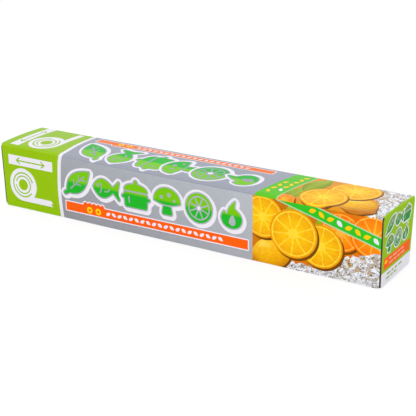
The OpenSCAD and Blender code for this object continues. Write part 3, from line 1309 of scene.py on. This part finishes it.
def finish_material(tree, values):
    """Shader with these inputs, at the end of the tree."""
    shader = node(tree, "ShaderNodeBsdfPrincipled", values)
    node(tree, "ShaderNodeOutputMaterial", {"Surface": shader.outputs[0]})


# Noises: scale, detail and roughness
MOTTLE = (420.0, 3.0, 0.6)
CLOUD = (38.0, 2.0, 0.5)
GRAINS = (460.0, 4.0, 0.6)
SPECKS = (1500.0, 3.0, 0.7)
FINE_GRAIN = (2600.0, 3.0, 0.6)
SWELL = (160.0, 2.0, 0.5)
FIBRES = (1800.0, 4.0, 0.7)
GRAIN_TINT = (0.84, 0.42, 0.0, 1)
SCUFF_TINT = (0.80, 0.79, 0.75, 1)


def printed_material():
    """Coated board with its inks: soft gloss, slight mottle, and scuffs on the folds."""
    material, tree, where = new_material("printed board")
    mottle = noise_of(tree, where, MOTTLE)
    cloud = noise_of(tree, where, CLOUD)
    tone = scaled(tree, cloud, 0.10, scaled(tree, mottle, 0.10, 0.90))
    colour = toned(tree, stored(tree, "ink")["Color"], tone)
    grains = math_of(tree, "SUBTRACT", noise_of(tree, where, GRAINS), 0.46)
    grains = scaled(tree, scaled(tree, grains, 1.5, clamp=True), stored(tree, "grainy")["Fac"])
    colour = blend_of(tree, grains, colour, GRAIN_TINT, "MULTIPLY")
    specks = math_of(tree, "SUBTRACT", noise_of(tree, where, SPECKS), 0.44)
    scuff = scaled(tree, scaled(tree, stored(tree, "wear")["Fac"], specks), 0.4, clamp=True)
    grain = bump_of(tree, 0.12, 0.00002, noise_of(tree, where, FINE_GRAIN))
    finish_material(tree, {
        "Base Color": blend_of(tree, scuff, colour, SCUFF_TINT),
        "Roughness": scaled(tree, cloud, 0.08, scaled(tree, mottle, 0.10, 0.26)),
        "Metallic": scaled(tree, stored(tree, "ink")["Alpha"], 0.35),
        "Normal": bump_of(tree, 0.25, 0.00005, noise_of(tree, where, SWELL), grain),
        "Specular IOR Level": 0.1,
    })
    return material


def raw_material():
    """Raw board: grey fibres with a paler face."""
    material, tree, where = new_material("raw board")
    fibres = noise_of(tree, where, FIBRES)
    finish_material(tree, {
        # The ink here is the raw edge or plain board colour, both darkened as painted shade
        "Base Color": toned(tree, stored(tree, "ink")["Color"], scaled(tree, fibres, 0.5, 0.72)),
        "Roughness": scaled(tree, fibres, 0.15, 0.78),
        "Normal": bump_of(tree, 0.4, 0.00003, fibres),
        "Specular IOR Level": 0.2,
    })
    return material


# Reach of the scuffs on the front, back and ear folds
LID_WEAR = 0.6
BACK_WEAR = 0.5
EAR_WEAR = 0.4


def worn(offset, reach):
    """Scuffing that fades away from the middle of a fold."""
    return np.exp(-((offset / reach) ** 2))


def lid_wear(x, s):
    """Scuffing along the lid's two long folds."""
    lid = worn(s - (FOLD_START + FOLD_END) / 2, LID_WEAR)
    return np.maximum(lid, worn(s - (CROWN_END + BACK_START) / 2, BACK_WEAR))


def cut_rows(middle):
    """Lines round one cut of the tear line, and the line along its bottom."""
    far, near = CUT_L / 2, CUT_L / 2 - CUT_TIP
    sides = (-far, 0), (-near, -1), (near, -1), (far, 0), (near, 1), (-near, 1), (-far, 0)
    round_it = [(middle + x, TEAR_RISE + side * CUT_W / 2) for x, side in sides]
    return [round_it, [(middle - near, TEAR_RISE), (middle + near, TEAR_RISE)]]


def make_front():
    folds = rows_across([8, 16, 24, 32, *np.linspace(FOLD_START, LID_SEAM, 5)[:-1]])
    rows = rows_across([FRONT_SPLIT - FRONT_SOFT / 2, FRONT_SPLIT + FRONT_SOFT / 2])
    reach = int((HALF_FOOT - CUT_PITCH) / CUT_PITCH)
    for step in range(-reach, reach):
        rows += cut_rows((step + 0.5) * CUT_PITCH)
    border = PICTURE_U - HALF
    posts = np.vstack((
        grid((-126, 1.5), (border - 2, 37), (8.0, 5.0)),
        grid((border + 1, 1.0), (126.5, 37.4), (3.0, 3.0), 0.6, 7),
    ))
    make_sheet("front_panel", front_place, front_outline(), folds, rows, posts, LID_INKS,
               lid_wear, front_form)


def make_top():
    fold = np.linspace(LID_SEAM, FOLD_END, 5)[1:]
    bow = np.linspace(FOLD_END, CROWN_END, 16)[1:]
    back = np.linspace(CROWN_END, BACK_SEAM, 5)[1:-1]
    rows = rows_across([TOP_SPLIT - TOP_SOFT / 2, TOP_SPLIT + TOP_SOFT / 2])
    outline = np.array(box((-EAR_X, LID_SEAM), (EAR_X, BACK_SEAM)))
    posts = np.vstack((
        grid((-124, FOLD_END + 1), (60, CROWN_END - 1), (8.0, 6.0)),
        grid((68, FOLD_END + 0.6), (EAR_X - 1, CROWN_END - 0.6), (3.0, 3.0), 0.6, 8),
    ))
    make_sheet("top_panel", top_place, outline, rows_across([*fold, *bow, *back]), rows, posts,
               LID_INKS, lid_wear)


def make_ear(name, side):
    line = np.column_stack((hinge_y, hinge_z)) * (side, 1)
    folds = [line + (0, level) for level in np.linspace(0, QUARTER, 7)[:-1] * EAR_R]

    def wear(a, b):
        rise = b - np.interp(side * a, hinge_y, hinge_z)
        return worn(rise - EAR_R * QUARTER / 2, EAR_WEAR)

    posts = grid((-18, 3), (18, 36), (6, 6))
    make_sheet(name, ear_place(side), ear_outline(side), folds, [], posts, ear_inks(side > 0),
               wear)


PRINTED = printed_material()
RAW = raw_material()
LID_INKS = lid_inks()
make_front()
make_top()
make_ear("ear_right", 1)
make_ear("ear_left", -1)
make_plies()


# Floor and light, in metres
FLOOR_SIZE = 4.0
# Half sizes, in millimetres, of an opening under the carton, through which its base can be seen
OPENING = (126.0, 17.5)
FLOOR_COLOUR = (0.86, 0.86, 0.87, 1)
FLOOR_GLOW = 1.08
GLOW_SHARE = 0.72
# How bright the floor is where the coating mirrors it
FLOOR_SHINE = 0.3
PURE_WHITE = (1, 1, 1, 1)
COOL_WHITE = (0.93, 0.96, 1, 1)
ROOM_LIGHT = 0.93
LIGHT_SPOT = Vector((0.5, -1.2, 1.6))
LIGHT_AIM = Vector((0, 0, 0.02))
LIGHT_SIZE = 1.2
LIGHT_POWER = 9.0


def light_of(tree, kind, colour, strength):
    """Output of an emission or background shader."""
    return node(tree, kind, {"Color": colour, "Strength": strength}).outputs[0]


def either(tree, share, first, second):
    """The first shader where the share is 0, and the second where it is 1."""
    return node(tree, "ShaderNodeMixShader", {0: share, 1: first, 2: second}).outputs[0]


def make_floor():
    h = FLOOR_SIZE / 2
    x, y = (value * MM for value in OPENING)
    corners = [*box((-h, -h), (h, h)), *box((-x, -y), (x, y))]
    points = [(*corner, -HAIR * MM) for corner in corners]
    faces = [(i, (i + 1) % 4, 4 + (i + 1) % 4, 4 + i) for i in range(4)]
    mesh = bpy.data.meshes.new("floor")
    mesh.from_pydata(points, [], faces)
    material = bpy.data.materials.new("floor")
    tree = new_tree(material)
    path = node(tree, "ShaderNodeLightPath").outputs
    matt = node(tree, "ShaderNodeBsdfDiffuse", {"Color": FLOOR_COLOUR}).outputs[0]
    glow = light_of(tree, "ShaderNodeEmission", PURE_WHITE, FLOOR_GLOW)
    dim = light_of(tree, "ShaderNodeEmission", PURE_WHITE, FLOOR_SHINE)
    both = either(tree, scaled(tree, path["Is Camera Ray"], GLOW_SHARE), matt, glow)
    seen = either(tree, path["Is Glossy Ray"], both, dim)
    node(tree, "ShaderNodeOutputMaterial", {"Surface": seen})
    mesh.materials.append(material)
    add_object("floor", mesh)


def make_world():
    world = bpy.data.worlds.new("studio")
    bpy.context.scene.world = world
    tree = new_tree(world)
    path = node(tree, "ShaderNodeLightPath").outputs
    room = light_of(tree, "ShaderNodeBackground", PURE_WHITE, ROOM_LIGHT)
    shine = light_of(tree, "ShaderNodeBackground", COOL_WHITE, 1.0)
    seen = light_of(tree, "ShaderNodeBackground", PURE_WHITE, 1.0)
    unseen = either(tree, path["Is Glossy Ray"], room, shine)
    surface = either(tree, path["Is Camera Ray"], unseen, seen)
    node(tree, "ShaderNodeOutputWorld", {"Surface": surface})


def make_light():
    data = bpy.data.lights.new("key", "AREA")
    data.size = LIGHT_SIZE
    data.energy = LIGHT_POWER
    light = add_object("key", data)
    light.location = LIGHT_SPOT
    light.rotation_mode = "QUATERNION"
    light.rotation_quaternion = (LIGHT_AIM - LIGHT_SPOT).to_track_quat("-Z", "Y")


# The camera that was fitted to the corners of the carton, in degrees, millimetres and pixels
AZIMUTH = 32.403
ELEVATION = 19.914
ROLL = -0.4699
AIM = Vector((0, 0, 20.5))
DISTANCE = 713.9614
SIDE_STEP = -8.0506
UP_STEP = 4.9902
FOCAL_PX = 1224.0547
IMAGE_PX = 416
SENSOR = 36.0


def make_camera():
    turns = ((AZIMUTH, "Z"), (90 - ELEVATION, "X"), (ROLL, "Z"))
    swing, tilt, roll = (Matrix.Rotation(math.radians(angle), 3, axis) for angle, axis in turns)
    turned = swing @ tilt @ roll
    spot = AIM + turned @ Vector((-SIDE_STEP, -UP_STEP, DISTANCE))
    data = bpy.data.cameras.new("camera")
    data.sensor_width = SENSOR
    data.lens = FOCAL_PX * SENSOR / IMAGE_PX
    data.clip_start = 0.01
    data.clip_end = 20.0
    camera = add_object("camera", data)
    camera.matrix_world = Matrix.Translation(spot * MM) @ turned.to_4x4()
    bpy.context.scene.camera = camera


make_floor()
make_world()
make_light()
make_camera()
bpy.context.scene.view_settings.view_transform = "Standard"
